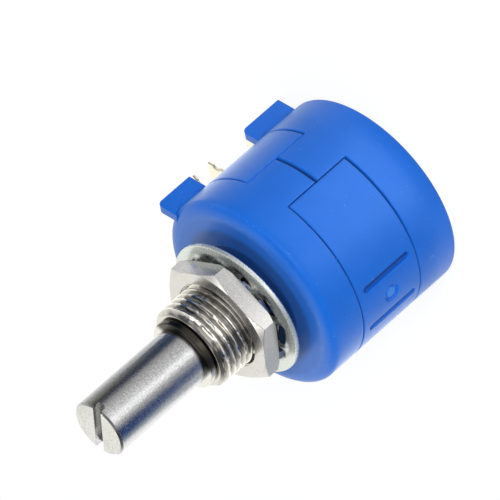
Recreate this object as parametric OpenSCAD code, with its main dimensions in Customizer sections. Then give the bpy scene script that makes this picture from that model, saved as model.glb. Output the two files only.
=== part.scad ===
// Ten-turn wirewound rotary potentiometer with a threaded panel bushing.
// The shaft axis is Z, the flat rear face stands on z = 0, and the solder terminals point along +X.

/* [Case] */
// Outside diameter of the moulded case
case_d = 22.2; // [18:0.1:30]
// Length from the rear face to the flat front face
case_len = 18.2; // [17:0.1:30]
// Rounding of the front rim
rim_round = 1; // [0.4:0.1:1.2]
// Rounding of the rear rim
rear_round = 0.3; // [0.1:0.05:0.5]
// Thickness of the cover skirts and of their tongues
skirt_t = 1.05; // [0.8:0.05:1.5]
// Wall of the centre housing inside the skirts
sleeve_t = 1; // [0.8:0.05:1.6]
// Length of the front cover's skirt, from the front face to its parting line
front_skirt = 4.5; // [3.5:0.1:6]
// Length of the rear cover's skirt, from the rear face to its parting line
rear_skirt = 5.2; // [4:0.1:6.5]
// Thickness of the front end wall
front_wall = 2; // [1.5:0.1:3]
// Thickness of the rear end wall
rear_wall = 2; // [1.5:0.1:2.5]
// Gap left along the parting lines
parting_gap = 0.12; // [0.05:0.01:0.3]

/* [Tongues and marks] */
// Width of the interlocking tongues, in degrees round the case
tongue_deg = 28; // [15:1:40]
// Direction of the tongues round the case
tongue_at = -90; // [-120:1:-60]
// Open gap between the tips of the two tongues
tongue_gap = 0.35; // [0.1:0.05:0.8]
// Distance from the front face to the middle of the tongue gap
tongue_meet = 8.75; // [7:0.05:10.5]
// Length of the two recessed slots
slot_len = 6.6; // [4:0.1:7.5]
// Width of the recessed slots
slot_w = 0.8; // [0.4:0.05:1.4]
// Depth of the recessed slots
slot_depth = 0.4; // [0.2:0.05:0.6]
// Angle between each slot and the gate mark
slot_spread = 13.7; // [9:0.1:25]
// Diameter of the round gate mark
gate_d = 2; // [1.7:0.1:3]
// Depth of the gate mark's recess
gate_depth = 0.3; // [0.15:0.05:0.5]
// Diameter of the raised pip in the gate mark
pip_d = 1.24; // [0.5:0.02:1.6]
// Height of the raised pip over the floor of the gate mark
pip_h = 0.225; // [0.05:0.025:0.3]
// Distance of the slots and the gate mark below the tongue gap
mark_drop = 0.05; // [0:0.05:1]

/* [Guard ears] */
// Thickness of the two guard ears
ear_t = 1; // [0.6:0.1:1.6]
// Sideways distance from the shaft axis to the outer side of the ears
ear_side = 5.9; // [4:0.1:7]
// Reach of the ears past the case surface, measured from the case radius
ear_reach = 0.7; // [0.3:0.1:3]
// Inset of the ears from the front and rear faces
ear_inset = 0.15; // [0:0.05:0.5]
// Length by which each ear hangs past its parting line over the centre housing
ear_over = 0.4; // [0:0.05:0.8]
// Rounding of the ears' shaft-side corners
ear_round = 0.65; // [0.2:0.05:1]

// Depth by which the ears are rooted in their covers
ear_sink = 0.3; // [0.1:0.05:0.6]

/* [Mounting boss and bushing] */
// Diameter of the mounting boss
boss_d = 12.6; // [11.5:0.1:14]
// Height of the mounting boss over the front face
boss_h = 0.9; // [0.5:0.1:2]
// Wall of the bushing, from the shaft's bore to the crests of the thread
bush_wall = 1.56; // [1.4:0.01:3]
// Length of the bushing in front of the mounting boss
thread_len = 8.1; // [7:0.1:15]
// Chamfer at the free end of the bushing
thread_chamfer = 0.8; // [0.2:0.05:1]
// Diameter of the moulded-in bushing flange
flange_d = 13; // [11:0.1:15]
// Thickness of the moulded-in bushing flange
flange_t = 0.9; // [0.5:0.1:1.2]

/* [Nut and lock washer] */
// Width of the nut across its flats
nut_af = 12.7; // [10.5:0.1:16]
// Thickness of the nut
nut_t = 2; // [1.6:0.1:4]
// Height of the chamfers on the corners of the nut's front face
nut_chamfer = 0.5; // [0.2:0.05:0.7]
// Radial depth of those chamfers
corner_cut = 0.93; // [0.2:0.01:0.95]
// Height of the smaller chamfers behind
rear_chamfer = 0.35; // [0.2:0.05:0.7]
// Radial depth of the smaller chamfers
rear_cut = 0.5; // [0.2:0.05:0.8]
// Direction of one corner of the nut
nut_at = 25.6; // [0:0.1:60]
// Outside diameter of the lock washer
washer_d = 15.8; // [13:0.1:20]
// Radial width of the washer's smooth rim
washer_rim = 1.35; // [0.8:0.05:2]
// Sheet thickness of the washer
washer_t = 0.5; // [0.3:0.05:0.8]
// Number of twisted teeth
teeth = 10; // [6:1:10]
// Width of a tooth
tooth_w = 2.1; // [1:0.1:2.6]
// Twist of the teeth out of the washer's plane
tooth_twist = 29; // [5:1:30]
// Gap between the bushing thread and the tips of the teeth
tooth_gap = 0.22; // [0.1:0.02:0.6]
// Direction of the first gap between teeth
tooth_at = 32.6; // [0:0.1:36]
// Slant of the loose washer between the boss and the nut
washer_tilt = 1.75; // [0:0.05:3]
// Direction in which the slanting washer stands highest
lean_at = -37; // [-180:1:180]

/* [Shaft] */
// Diameter of the shaft
shaft_d = 6.35; // [5.2:0.01:8]
// Length of the shaft in front of the mounting boss
shaft_len = 21.05; // [15:0.05:40]
// Chamfer at the shaft's free end
shaft_chamfer = 0.35; // [0.1:0.05:0.6]
// Width of the screwdriver slot
driver_w = 1; // [0.6:0.1:1.6]
// Depth of the screwdriver slot
driver_depth = 0.9; // [0.4:0.1:1.6]
// Direction of the screwdriver slot
driver_at = 83.6; // [0:0.1:180]
// Diameter of the shaft's seat in the rotor
seat_d = 4.6; // [3.8:0.1:5]
// Diameter of the rear journal
journal_d = 3.1; // [2.5:0.1:3.7]
// Depth of the rear journal's pocket under the inner rear face
journal_depth = 1.1; // [0.6:0.1:1.3]
// Wall of the hub round the rear journal
hub_wall = 1.1; // [0.6:0.1:1.4]
// Height of that hub over the inner rear face
hub_rise = 0.35; // [0.1:0.05:0.5]
// Radial thickness of the retaining ring outside the shaft
ring_w = 0.75; // [0.4:0.05:0.8]
// Thickness of the retaining ring
ring_t = 0.75; // [0.4:0.05:1]
// Depth of the ring's groove in the shaft
ring_groove = 0.3; // [0.2:0.05:0.5]
// Opening of the retaining ring, in degrees
ring_gap_deg = 55; // [30:1:90]
// Direction of the retaining ring's opening
ring_gap_at = 60; // [-180:1:180]

/* [Element and wiper] */
// Number of turns of the resistance coil
turns = 10; // [3:1:10]
// Gap between one turn of the coil and the next
wire_gap = 0.21; // [0.1:0.01:0.4]
// Gap between the coil and the wall of the housing
coil_seat = 0.06; // [0.04:0.01:0.15]
// Radial room between the rotor and the coil
rotor_room = 1.55; // [0.8:0.05:1.8]
// Width of the rail channel in the rotor
channel_w = 3; // [2:0.1:4]
// Distance from the axis to the floor of the rail channel
channel_floor = 4; // [3.3:0.1:4.6]
// Height of the wiper carriage along the axis
carriage_h = 2; // [1.4:0.1:2.4]
// Length by which the wiper carriage stands out of the rotor
carriage_out = 0.4; // [0.1:0.05:0.6]
// Room past the wiper carriage at each end of its travel
travel_room = 0.195; // [0.15:0.005:1]
// Width of the collector rail
rail_w = 1.2; // [0.8:0.1:1.8]
// Thickness of the collector rail
rail_t = 0.25; // [0.15:0.05:0.4]
// Thickness of the wiper's contact strip
strip_t = 0.24; // [0.16:0.02:0.4]
// Width of the wiper's contact strip
strip_w = 0.8; // [0.5:0.05:1]
// Radius of the contact's rolled tip
tip_r = 0.3; // [0.2:0.02:0.36]
// Gap between the contact's tip and the coil
contact_gap = 0.1; // [0.05:0.01:0.2]
// Height of the end stops in the helical track
stop_h = 0.7; // [0.4:0.05:0.8]
// Width of the end stops, in degrees round the track
stop_deg = 12; // [6:1:20]
// Direction of the end stops' middles, counted from the ends of the coil
stop_at = 11; // [11:0.5:20]
// Thickness of the slip ring
slip_t = 0.48; // [0.3:0.02:0.8]
// Width by which the slip ring reaches past the channel floor
slip_over = 1.2; // [0.8:0.1:1.6]
// Thickness of the slip ring's brush
brush_t = 0.1; // [0.06:0.01:0.2]
// Width of the slip ring's brush
brush_w = 1.6; // [1:0.1:2]
// Thickness of the thrust washer
shim_t = 0.2; // [0.1:0.05:0.4]
// Radial width of the thrust washer
shim_w = 2; // [1:0.1:2.4]

/* [Terminals] */
// Width of the solder lugs
lug_w = 2.25; // [1.5:0.05:3]
// Sheet thickness of the solder lugs
lug_t = 0.4; // [0.25:0.05:0.6]
// Length of the lugs outside the case
lug_out = 4.1; // [2.5:0.1:8]
// Distance from the front parting line back to the front lug
lug_front_back = 2.65; // [1.5:0.05:3]
// Distance from the rear parting line to the middle lug
lug_middle_up = 2.45; // [1.5:0.05:2.9]
// Rearward bend of the front lug, in degrees
lug_bend = 17; // [0:1:25]
// Depth of the notches in the lugs' sides
lug_notch = 0.28; // [0.1:0.02:0.5]
// Length of the notches along the lugs
notch_len = 0.85; // [0.4:0.05:1.2]
// Length of the lugs past the notches
lug_tip = 0.75; // [0.4:0.05:1.2]
// Thickness of the leads from the coil to the lugs
lead_t = 0.3; // [0.15:0.05:0.5]
// Width of the leads from the coil to the lugs
lead_w = 0.6; // [0.3:0.05:1]
// Length of the leads past the ends of the coil
lead_over = 0.2; // [0.1:0.05:0.4]

/* [Clearances] */
// Radial running clearance of the shaft, its journal and the nut
run_gap = 0.025; // [0.01:0.005:0.06]
// Clearance of moulded-in and seated pieces
fit_gap = 0.02; // [0.01:0.005:0.05]
// Gap between the rear lug's inner end and the centre housing's sleeve
lug_room = 0.3; // [0.2:0.05:0.6]
// Clearance of the sliding carriage and its contacts
slide_gap = 0.06; // [0.04:0.01:0.15]

/* [Hidden] */
$fn = 96;
eps = 0.01;
// Depth by which two solids of one piece run into each other
root = 0.5;
case_r = case_d / 2;
skirt_r = case_r - skirt_t;
sleeve_r = skirt_r - fit_gap;
cavity_r = skirt_r - sleeve_t;
front_seam = case_len - front_skirt;
rear_seam = rear_skirt;
tongue_mid = case_len - tongue_meet;
seam_deg = parting_gap / case_r * 180 / PI;
inner_front = case_len - front_wall;
inner_rear = rear_wall;
mount_z = case_len + boss_h;
shaft_r = shaft_d / 2;
shaft_end = mount_z + shaft_len;
thread_r = shaft_r + run_gap + bush_wall;
bush_end = mount_z + thread_len;
flange_z = inner_front + (front_wall - flange_t) / 2;
seat_r = seat_d / 2;
journal_r = journal_d / 2;
journal_end = inner_rear - journal_depth;
hub_r = journal_r + hub_wall;
hub_top = inner_rear + hub_rise;
ear_outer = case_r + ear_reach;
ear_root = sqrt(case_r ^ 2 - ear_side ^ 2) - ear_sink;
tooth_h = tooth_w * sin(tooth_twist) + washer_t * cos(tooth_twist);
washer_z = mount_z + tooth_h / 2 + fit_gap + boss_d / 2 * sin(washer_tilt);
washer_inner = washer_d / 2 - washer_rim;
tooth_tip = thread_r + tooth_gap;
nut_z = washer_z + tooth_h / 2 + fit_gap + washer_inner * sin(washer_tilt);
ring_r = shaft_r + ring_w;
ring_z = bush_end + slide_gap;
groove_r = shaft_r - ring_groove;
lug_rear_z = inner_rear + lug_t / 2;
lug_front_z = front_seam - lug_front_back;
lug_middle_z = rear_seam + lug_middle_up;
lug_reach = case_r + lug_out;
lug_inner = cavity_r + fit_gap;
brush_z = inner_rear + lug_t + fit_gap;
slip_z = max(brush_z + brush_t, hub_top) + slide_gap;
slip_in = journal_r + 0.4;
slip_r = channel_floor + slip_over;
rotor_z = slip_z + slip_t;
rotor_end = inner_front - shim_t - 0.05;
rotor_mid = (rotor_z + rotor_end) / 2;
coil_half = (rotor_end - rotor_z - carriage_h) / 2 - travel_room;
pitch = 2 * coil_half / turns;
wire_r = (pitch - wire_gap) / 2;
coil_r = cavity_r - wire_r - coil_seat;
coil_in = coil_r - wire_r;
contact_reach = coil_in - contact_gap;
rotor_r = coil_in - rotor_room;
carriage_r = rotor_r + carriage_out;
rail_top = channel_floor + rail_t;

// The range of a given width about its middle.
function span(mid, width) = [mid - width / 2, mid + width / 2];

// A tube round Z, from its inner to its outer radius.
module tube(r_in, r_out, z0, z1) {
    rotate_extrude()
        translate([r_in, z0])
            square([r_out - r_in, z1 - z0]);
}

// A wedge round Z, centred on one direction, for cutting sectors out of tubes.
module wedge(at, width, z0, z1) {
    reach = 2 * case_d;
    half = width / 2;
    translate([0, 0, z0])
        linear_extrude(z1 - z0)
            polygon([[0, 0],
                     reach * [cos(at - half), sin(at - half)],
                     reach * [cos(at + half), sin(at + half)]]);
}

// A block with its own ranges on each axis.
module block(x, y, z) {
    translate([x[0], y[0], z[0]])
        cube([x[1] - x[0], y[1] - y[0], z[1] - z[0]]);
}

// The half section of a disc whose outer edge is rounded on one side.
module rounded_disc(r, z0, z1, round, at_top) {
    corner_z = at_top ? z1 - round : z0 + round;
    rotate_extrude()
        difference() {
            translate([0, z0])
                square([r, z1 - z0]);
            difference() {
                translate([r - round, at_top ? corner_z : z0 - eps])
                    square([round + eps, round + eps]);
                translate([r - round, corner_z])
                    circle(round);
            }
        }
}

// A guard ear: a flat plate beside the terminals, rounded at its shaft-side outer corner.
module ear(z0, z1) {
    rotate([90, 0, 0])
        translate([0, 0, ear_side - ear_t])
            linear_extrude(ear_t)
                union() {
                    translate([ear_root, z0])
                        square([ear_outer - ear_round - ear_root, z1 - z0]);
                    translate([ear_root, z0])
                        square([ear_outer - ear_root, z1 - z0 - ear_round]);
                    translate([ear_outer - ear_round, z1 - ear_round])
                        circle(ear_round);
                }
}

module front_cover() {
    color("royalblue")
        difference() {
            union() {
                difference() {
                    rounded_disc(case_r, front_seam, case_len, rim_round, true);
                    translate([0, 0, front_seam - eps])
                        cylinder(r = skirt_r, h = inner_front - front_seam + eps);
                }
                intersection() {
                    tube(skirt_r, case_r, tongue_mid + tongue_gap / 2, front_seam + root);
                    wedge(tongue_at, tongue_deg, 0, case_len);
                }
                translate([0, 0, case_len - eps])
                    cylinder(d = boss_d, h = boss_h + eps);
                difference() {
                    ear(front_seam - ear_over, case_len - ear_inset);
                    translate([0, 0, front_seam - ear_over - eps])
                        cylinder(r = case_r + slide_gap, h = ear_over + parting_gap);
                }
            }
            translate([0, 0, inner_front - eps])
                cylinder(r = thread_r + fit_gap, h = front_wall + boss_h + 2 * eps);
            translate([0, 0, flange_z - fit_gap])
                cylinder(d = flange_d + 2 * fit_gap, h = flange_t + 2 * fit_gap);
        }
}

// One recessed slot with round ends, cut into the outside of the housing.
module housing_slot(at) {
    half = (slot_len - slot_w) / 2;
    rotate([0, 0, at])
        translate([case_r - slot_depth, 0, tongue_mid - mark_drop])
            rotate([0, 90, 0])
                union() {
                    for (s = [-1, 1])
                        translate([s * half, 0, 0])
                            cylinder(d = slot_w, h = 1);
                    translate([-half, -slot_w / 2, 0])
                        cube([2 * half, slot_w, 1]);
                }
}

// A stop in the helical track, where the wiper meets the end of its travel.
module end_stop(z, side) {
    intersection() {
        tube(contact_reach - tip_r, cavity_r + root, z - stop_h / 2, z + stop_h / 2);
        wedge(side * stop_at, stop_deg, 0, case_len);
    }
}

module centre_housing() {
    lead_groove = span(0, lead_w + 2 * fit_gap);
    lead_back = lug_inner + lead_t + fit_gap;
    sleeve_bottom = inner_rear + lug_t + lug_room;
    color("royalblue")
        difference() {
            union() {
                tube(cavity_r, sleeve_r, sleeve_bottom, inner_front - fit_gap);
                difference() {
                    tube(cavity_r, case_r, rear_seam + parting_gap, front_seam - parting_gap);
                    difference() {
                        wedge(tongue_at, tongue_deg + 2 * seam_deg, 0, case_len);
                        cylinder(r = sleeve_r, h = case_len);
                    }
                }
                intersection() {
                    tube(sleeve_r - lug_room, case_r, inner_rear + lug_t + fit_gap, rear_seam + root);
                    block([0, case_r], span(0, lug_w), [0, case_len]);
                }
                end_stop(rotor_mid + coil_half, 1);
                end_stop(rotor_mid - coil_half, -1);
            }
            for (side = [-1, 1])
                housing_slot(180 + side * slot_spread);
            translate([-case_r + gate_depth, 0, tongue_mid - mark_drop])
                rotate([0, -90, 0])
                    difference() {
                        cylinder(d = gate_d, h = 1);
                        translate([0, 0, -eps])
                            cylinder(d = pip_d, h = pip_h + eps);
                    }
            for (z = [lug_front_z, lug_middle_z])
                block([cavity_r - root, case_r + 1], span(0, lug_w + 2 * fit_gap),
                      span(z, lug_t + 2 * fit_gap));
            block([cavity_r - root, lead_back], lead_groove,
                  [lug_front_z + lug_t / 2, rotor_mid + coil_half + lead_over + fit_gap]);
            block([cavity_r - root, lead_back], lead_groove,
                  [rotor_mid - coil_half - lead_over - fit_gap, lug_middle_z - lug_t / 2]);
        }
}

module rear_cover() {
    color("royalblue")
        difference() {
            union() {
                difference() {
                    rounded_disc(case_r, 0, rear_seam, rear_round, false);
                    translate([0, 0, inner_rear])
                        cylinder(r = skirt_r, h = rear_seam);
                }
                intersection() {
                    tube(skirt_r, case_r, rear_seam - root, tongue_mid - tongue_gap / 2);
                    wedge(tongue_at, tongue_deg, 0, case_len);
                }
                cylinder(r = hub_r, h = hub_top);
                difference() {
                    ear(ear_inset, rear_seam + ear_over);
                    translate([0, 0, rear_seam - parting_gap])
                        cylinder(r = case_r + slide_gap, h = ear_over + 2 * parting_gap);
                }
            }
            translate([0, 0, journal_end - slide_gap])
                cylinder(r = journal_r + run_gap, h = hub_top);
            block([skirt_r - root, case_r + 1], span(0, lug_w + 2 * fit_gap),
                  [inner_rear, rear_seam + 1]);
        }
}

module bushing() {
    color("silver")
        difference() {
            union() {
                translate([0, 0, inner_front])
                    cylinder(r = thread_r, h = bush_end - inner_front - thread_chamfer);
                translate([0, 0, bush_end - thread_chamfer])
                    cylinder(r1 = thread_r, r2 = thread_r - thread_chamfer, h = thread_chamfer);
                translate([0, 0, flange_z])
                    cylinder(d = flange_d, h = flange_t);
            }
            translate([0, 0, inner_front - eps])
                cylinder(r = shaft_r + run_gap, h = bush_end);
        }
}

module hex_nut() {
    corner_r = nut_af / sqrt(3);
    front_r = corner_r - corner_cut;
    rear_r = corner_r - rear_cut;
    color("gainsboro")
        translate([0, 0, nut_z])
            difference() {
                intersection() {
                    rotate([0, 0, nut_at])
                        cylinder(r = corner_r, h = nut_t, $fn = 6);
                    rotate_extrude()
                        polygon([[0, 0], [rear_r, 0], [corner_r + eps, rear_chamfer],
                                 [corner_r + eps, nut_t - nut_chamfer], [front_r, nut_t], [0, nut_t]]);
                }
                translate([0, 0, -eps])
                    cylinder(r = thread_r + run_gap, h = nut_t + 2 * eps);
            }
}

module lock_washer() {
    color("lightgray")
        translate([0, 0, washer_z])
            rotate([0, 0, lean_at])
            rotate([0, -washer_tilt, 0])
            rotate([0, 0, -lean_at])
            union() {
                tube(washer_inner, washer_d / 2, -washer_t / 2, washer_t / 2);
                for (i = [0 : teeth - 1])
                    rotate([0, 0, tooth_at + (i + 0.5) * 360 / teeth])
                        rotate([tooth_twist, 0, 0])
                            translate([tooth_tip, -tooth_w / 2, -washer_t / 2])
                                cube([washer_inner - tooth_tip + ear_sink, tooth_w, washer_t]);
            }
}

module retaining_ring() {
    color("dimgray")
        difference() {
            tube(groove_r + fit_gap, ring_r, ring_z, ring_z + ring_t);
            wedge(ring_gap_at, ring_gap_deg, 0, 2 * case_len);
        }
}

module shaft() {
    color("silver")
        difference() {
            rotate_extrude()
                polygon([[0, journal_end], [journal_r, journal_end], [journal_r, rotor_z],
                         [seat_r, rotor_z], [seat_r, rotor_end], [shaft_r, rotor_end],
                         [shaft_r, ring_z - fit_gap], [groove_r, ring_z - fit_gap],
                         [groove_r, ring_z + ring_t + fit_gap], [shaft_r, ring_z + ring_t + fit_gap],
                         [shaft_r, shaft_end - shaft_chamfer], [shaft_r - shaft_chamfer, shaft_end],
                         [0, shaft_end]]);
            translate([0, 0, shaft_end - driver_depth])
                rotate([0, 0, driver_at])
                    translate([-shaft_d, -driver_w / 2, 0])
                        cube([2 * shaft_d, driver_w, driver_depth + 1]);
        }
}

module rotor() {
    color("ivory")
        difference() {
            tube(seat_r + fit_gap, rotor_r, rotor_z, rotor_end);
            block([channel_floor, case_d], span(0, channel_w), [rotor_z - 1, rotor_end + 1]);
        }
}

module collector_rail() {
    color("gold")
        block([channel_floor, rail_top], span(0, rail_w), [rotor_z, rotor_end]);
}

module slip_ring() {
    color("gold")
        tube(slip_in, slip_r, slip_z, rotor_z);
}

module slip_ring_brush() {
    color("goldenrod")
        block([hub_r + lug_room, slip_r + 2 * slip_over], span(0, brush_w), [brush_z, brush_z + brush_t]);
}

module wiper_carriage() {
    color("white")
        difference() {
            block([rail_top + slide_gap, carriage_r], span(0, channel_w - 2 * slide_gap),
                  span(rotor_mid, carriage_h));
            block([channel_floor, carriage_r + 1], span(0, strip_w + 2 * fit_gap),
                  span(rotor_mid, strip_t + 2 * fit_gap));
        }
}

module wiper_contact() {
    color("gold")
        union() {
            block([rail_top + slide_gap, contact_reach - tip_r], span(0, strip_w),
                  span(rotor_mid, strip_t));
            translate([contact_reach - tip_r, -strip_w / 2, rotor_mid])
                rotate([-90, 0, 0])
                    cylinder(r = tip_r, h = strip_w);
        }
}

module thrust_washer() {
    color("khaki")
        tube(shaft_r + run_gap, shaft_r + shim_w, rotor_end + fit_gap, rotor_end + fit_gap + shim_t);
}

// The wound mandrel wire as one right-handed helix with closed ends.
module resistance_coil() {
    steps = 28;
    sides = 6;
    count = turns * steps;
    points = [for (i = [0 : count], k = [0 : sides - 1])
        let (turn = (i / steps - turns / 2) * 360,
             side = k * 360 / sides,
             r = coil_r + wire_r * cos(side))
        [r * cos(turn), r * sin(turn), rotor_mid + pitch * turn / 360 + wire_r * sin(side)]];
    walls = [for (i = [0 : count - 1], k = [0 : sides - 1])
        let (a = i * sides + k,
             b = i * sides + (k + 1) % sides)
        [a, b, b + sides, a + sides]];
    first_end = [for (k = [sides - 1 : -1 : 0]) k];
    last_end = [for (k = [0 : sides - 1]) count * sides + k];
    color("peru")
        polyhedron(points, concat([first_end], walls, [last_end]));
}

module front_coil_lead() {
    color("goldenrod")
        block([lug_inner, lug_inner + lead_t], span(0, lead_w),
              [lug_front_z + lug_t / 2 + fit_gap, rotor_mid + coil_half + lead_over]);
}

module rear_coil_lead() {
    color("goldenrod")
        block([lug_inner, lug_inner + lead_t], span(0, lead_w),
              [rotor_mid - coil_half - lead_over, lug_middle_z - lug_t / 2 - fit_gap]);
}

// A flat solder lug with a notch in each side, seen from above, running from x0 to its free end.
module lug_outline(x0, x1) {
    notch_to = x1 - lug_tip;
    notch_from = notch_to - notch_len;
    difference() {
        translate([x0, -lug_w / 2])
            square([x1 - x0, lug_w]);
        for (side = [-1, 1])
            translate([notch_from, side * lug_w / 2 - lug_notch])
                square([notch_to - notch_from, 2 * lug_notch]);
    }
}

module straight_lug(x0, z) {
    translate([0, 0, z - lug_t / 2])
        linear_extrude(lug_t)
            lug_outline(x0, lug_reach);
}

module front_terminal() {
    bend_x = case_r + lug_room;
    color("gold")
        translate([0, 0, lug_front_z])
            union() {
                block([lug_inner, bend_x], span(0, lug_w), span(0, lug_t));
                translate([bend_x, 0, 0])
                    rotate([0, lug_bend, 0])
                        translate([0, 0, -lug_t / 2])
                            linear_extrude(lug_t)
                                lug_outline(-lug_t * tan(lug_bend) / 2, lug_reach - bend_x + lug_t / 2);
            }
}

module middle_terminal() {
    color("gold")
        straight_lug(lug_inner, lug_middle_z);
}

module rear_terminal() {
    color("gold")
        straight_lug(slip_r + slip_over, lug_rear_z);
}

front_cover();
centre_housing();
rear_cover();
bushing();
hex_nut();
lock_washer();
retaining_ring();
shaft();
rotor();
collector_rail();
slip_ring();
slip_ring_brush();
wiper_carriage();
wiper_contact();
thrust_washer();
resistance_coil();
front_coil_lead();
rear_coil_lead();
front_terminal();
middle_terminal();
rear_terminal();
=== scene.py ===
# %% [markdown]
# # A ten-turn rotary potentiometer
# The real part is a blue moulded case in three pieces, a nickel-plated threaded bushing with a hex nut
# and a toothed lock washer, a turned steel shaft, and gold-flashed solder lugs between two guard ears.
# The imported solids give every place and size, and this script builds the surfaces that are seen.
# Everything is worked out in millimetres and scaled to metres once, where a mesh is filled.

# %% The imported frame
import math

import bmesh
import bpy
import numpy as np
from mathutils import Matrix, Vector


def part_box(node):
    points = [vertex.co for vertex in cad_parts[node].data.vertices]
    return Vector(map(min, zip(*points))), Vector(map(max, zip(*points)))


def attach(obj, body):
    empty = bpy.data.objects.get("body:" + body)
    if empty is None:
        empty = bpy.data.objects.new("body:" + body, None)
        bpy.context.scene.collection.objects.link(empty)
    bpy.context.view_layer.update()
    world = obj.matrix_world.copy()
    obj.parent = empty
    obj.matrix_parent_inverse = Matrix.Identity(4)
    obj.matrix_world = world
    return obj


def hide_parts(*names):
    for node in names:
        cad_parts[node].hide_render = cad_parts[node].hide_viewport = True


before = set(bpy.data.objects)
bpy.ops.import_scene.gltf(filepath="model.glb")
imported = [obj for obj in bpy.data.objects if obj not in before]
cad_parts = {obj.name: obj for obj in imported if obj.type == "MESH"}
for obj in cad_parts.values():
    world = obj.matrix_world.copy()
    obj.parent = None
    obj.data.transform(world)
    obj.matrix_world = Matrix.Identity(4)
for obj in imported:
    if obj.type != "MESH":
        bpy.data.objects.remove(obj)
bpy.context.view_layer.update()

MM = 0.001


# %% [markdown]
# ## Sizes
# A piece that replaces a solid has to sit exactly where that solid sits, so its main sizes are read from
# the solids' boxes. Small features inside a box, such as a parting line, can't be read from it, so they
# are named here once, in millimetres.

# %% Sizes read from the solids
def box_mm(node):
    """The lowest and highest corner of a solid, in millimetres."""
    low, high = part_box(node)
    return np.array(low) / MM, np.array(high) / MM


front_low, front_high = box_mm("front_cover")
rear_low, rear_high = box_mm("rear_cover")
housing_low, housing_high = box_mm("centre_housing")
bush_low, bush_high = box_mm("bushing")
nut_low, nut_high = box_mm("hex_nut")
washer_low, washer_high = box_mm("lock_washer")
ring_low, ring_high = box_mm("retaining_ring")
shaft_low, shaft_high = box_mm("shaft")

case_r = -rear_low[0]
ear_x = rear_high[0]
mount_z = front_high[2]
boss_h = 0.9
face_z = mount_z - boss_h
boss_r = 6.3
skirt_t = 1.05
skirt_r = case_r - skirt_t
wall_front = 2.0
wall_rear = 2.0
front_seam = face_z - 4.5
rear_seam = 5.2
gap = 0.12
tongue_at = -90.0
tongue_half = 14.0
front_tip = front_low[2]
rear_tip = rear_high[2]
rim_round, rim_run = 1.0, 1.55
rear_round = 0.3
edge_round = 0.13
mm_to_deg = math.degrees(1 / case_r)
print(f"case radius {case_r:.2f}, face at {face_z:.2f}, mount face at {mount_z:.2f}")


# %% [markdown]
# ## Grids and closed shells
# Nearly every piece here is a grid of points: one direction runs round the axis or across the sheet, and
# the other runs along a profile. Blender's primitives and booleans could make rough versions, but a grid
# keeps full control of where the lines lie, so edges are rounded exactly where the real ones are.
# `shell` closes a grid that wraps both ways, `plate` closes two grids lying back to back.

# %% Grid helpers
CLOSEST = 0.002


def lines(low, high, step, *dense):
    """Even positions from low to high, with extra ones where (from, to, step) asks for them."""
    spans = [(low, high, step), *dense]
    parts = [np.linspace(a, b, max(2, int(round((b - a) / s)) + 1)) for a, b, s in spans]
    found = np.unique(np.concatenate(parts).round(5))
    return found[np.concatenate([[True], np.diff(found) > CLOSEST])]


def grid_quads(rows, columns, wrap_rows, wrap_columns):
    """The four corner numbers of every cell of a grid stored row by row."""
    index = np.arange(rows * columns).reshape(rows, columns)
    down, right = np.roll(index, -1, 0), np.roll(index, -1, 1)
    both = np.roll(down, -1, 1)
    quads = np.stack([index, right, both, down], -1)
    return quads[: rows - (not wrap_rows), : columns - (not wrap_columns)]


def outward(points, quads):
    """Turns a closed shell's faces outwards: the volume summed over its faces has to be positive."""
    a, b, c, d = (points[quads[:, k]] for k in range(4))
    volume = sum((a * np.cross(*pair)).sum() for pair in ((b, c), (c, d)))
    return points, quads if volume > 0 else quads[:, ::-1]


def shell(grid, wrap_rows=True, wrap_columns=True):
    """A closed shell from a grid of points of shape (rows, columns, 3)."""
    rows, columns = grid.shape[:2]
    quads = grid_quads(rows, columns, wrap_rows, wrap_columns).reshape(-1, 4)
    return outward(grid.reshape(-1, 3), quads)


def plate(front, back, keep, wrap=False):
    """Two grids back to back. Cells marked in keep stay, and a wall joins the grids along every edge
    between a cell that stays and one that doesn't."""
    quads = grid_quads(*front.shape[:2], False, wrap)
    around = np.pad(np.pad(keep, ((1, 1), (0, 0))), ((0, 0), (1, 1)), mode="wrap" if wrap else "constant")
    count = front.size // 3
    faces = [quads[keep], quads[keep][:, ::-1] + count]
    sides = ((0, 1, -1, 0), (1, 2, 0, 1), (2, 3, 1, 0), (3, 0, 0, -1))
    for start, end, down, right in sides:
        beside = around[1 + down : around.shape[0] - 1 + down, 1 + right : around.shape[1] - 1 + right]
        edge = quads[keep & ~beside]
        a, b = edge[:, start], edge[:, end]
        faces.append(np.stack([b, a, a + count, b + count], -1))
    points = np.concatenate([front.reshape(-1, 3), back.reshape(-1, 3)])
    return outward(points, np.concatenate(faces))


def polar(radius, height, angle):
    """Points at a radius, a height and an angle round Z in radians."""
    radius, height, angle = np.broadcast_arrays(radius, height, angle)
    return np.stack([radius * np.cos(angle), radius * np.sin(angle), height], -1)


def turned(radius, height, degrees):
    """Points at the given radius and height round Z. Radius and height are (rows, columns) or (rows, 1)."""
    return polar(radius, height, np.radians(degrees))


def spun(profile, degrees):
    """A profile of (radius, height) turned round Z."""
    return turned(profile[:, :1], profile[:, 1:], degrees)


print("a grid of 3 x 4 points has", grid_quads(3, 4, False, True)[..., 0].size, "cells when it wraps")


# %% [markdown]
# ## Rounded profiles
# Real edges are never sharp: moulded edges have a small radius and turned ones a chamfer, and both catch
# light. `rounded` walks along corner points and puts an arc at each, with a support point just past both
# ends of the arc, but short of the side's middle, so that the flat beside it is shaded flat.

# %% Profile helpers
SUPPORT = 0.03
NEARLY_HALF = 0.49


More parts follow.
